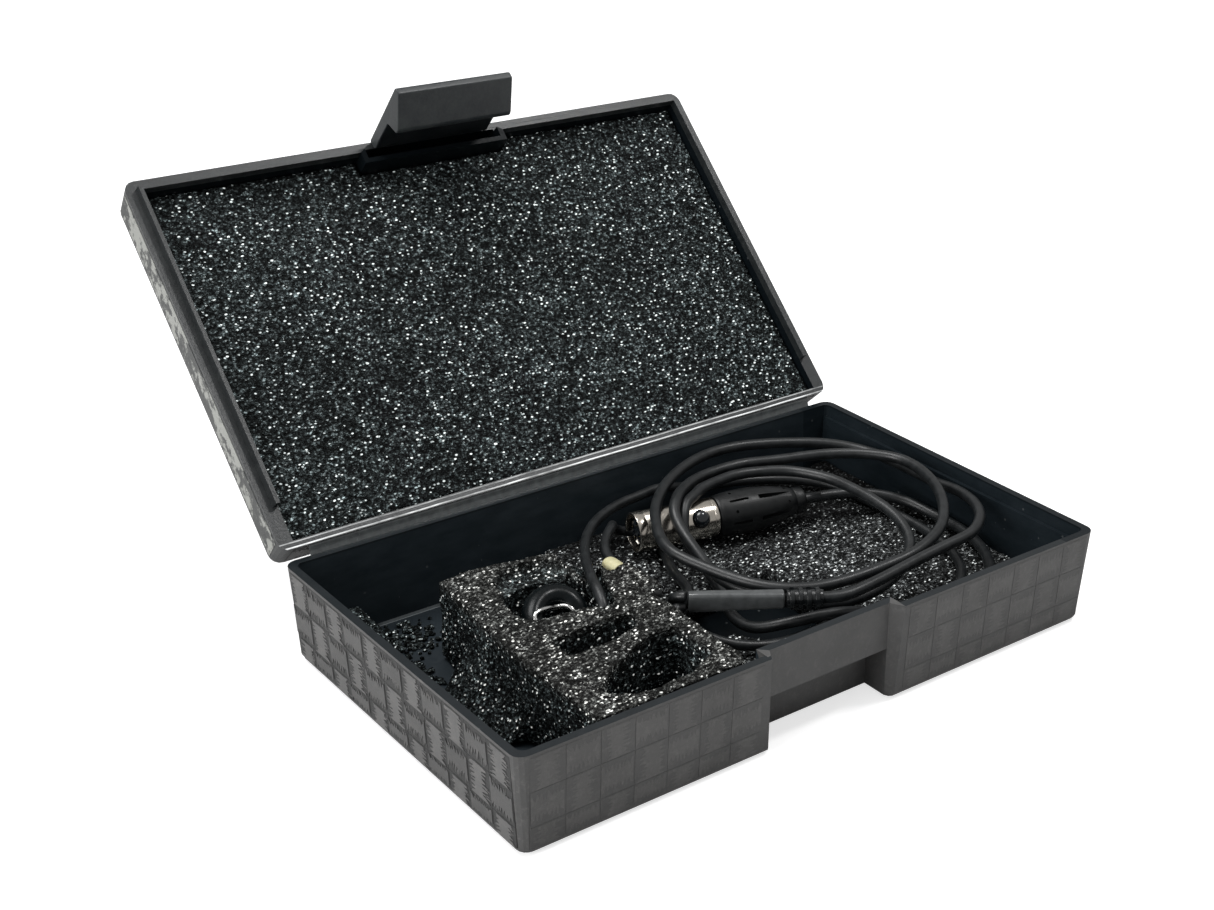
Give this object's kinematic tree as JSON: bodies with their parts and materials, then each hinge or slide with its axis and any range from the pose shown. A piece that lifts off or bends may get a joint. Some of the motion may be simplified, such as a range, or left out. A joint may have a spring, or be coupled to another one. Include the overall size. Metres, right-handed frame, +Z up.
{
  "type": "headset microphone in case",
  "caption": "Ear-worn headset microphone with coiled thin cable and mini connector, packed in a foam-lined plastic case with hinged lid and hooked latch flap.",
  "frame": {"origin": "centre of the tray's underside", "axes": "+X along the case's long side to the right seen from the latch, +Y from the latch side to the hinge, +Z up; the lid is open at rest"},
  "size_m": [0.165, 0.1782, 0.1137],
  "materials": {
    "case_plastic": "moulded, satin",
    "hinge_plastic": "thin flexed polypropylene",
    "foam": "open-cell foam",
    "nickel": "satin nickel plate",
    "insulator": "moulded",
    "contact_brass": "plated",
    "button_plastic": "polished",
    "spring_steel": "rolled",
    "rubber": "moulded",
    "cable_jacket": "extruded, satin",
    "sleeve_plastic": "smooth",
    "ivory_plastic": "moulded",
    "hook_plastic": "polished"
  },
  "bodies": {
    "tray": {"case_base": "case_plastic", "lid_hinge_film": "hinge_plastic", "base_foam_pad": "foam", "foam_block": "foam", "foam_remnant": "foam"},
    "lid": {"case_lid": "case_plastic", "lid_foam_pad": "foam", "latch_hinge_film": "hinge_plastic"},
    "latch": {"latch_flap": "case_plastic"},
    "microphone": {"connector_shell": "nickel", "connector_insert": "insulator", "contact_1": "contact_brass", "contact_2": "contact_brass", "contact_3": "contact_brass", "contact_4": "contact_brass", "button_spring": "spring_steel", "connector_boot": "rubber", "cable_clamp": "insulator", "main_cable": "cable_jacket", "cable_strain_relief": "rubber", "junction_sleeve": "sleeve_plastic", "ear_lead": "cable_jacket", "capsule_lead": "cable_jacket", "capsule_body": "rubber", "capsule_element": "nickel", "capsule_cap": "ivory_plastic", "ear_hook": "hook_plastic", "hook_wire": "spring_steel"},
    "button": {"release_button": "button_plastic"}
  },
  "joints": [
    {"name": "lid_hinge", "type": "hinge", "parent": "tray", "child": "lid", "pos_m": [0, 0.05055, 0.0256], "axis": [-1, 0, 0], "range_deg": [-135.84, 44.16]},
    {"name": "latch_hinge", "type": "hinge", "parent": "lid", "child": "latch", "pos_m": [0, 0.12125, 0.09648], "axis": [-1, 0, 0], "range_deg": [-1.7, 95]},
    {"name": "mic_lift_out", "type": "slide", "parent": "tray", "child": "microphone", "axis": [0, 0, 1], "range_m": [0, 0.15]},
    {"name": "button_press", "type": "slide", "parent": "microphone", "child": "button", "axis": [0.1884, 0.8497, -0.4924], "range_m": [0, 0.0006]}
  ]
}
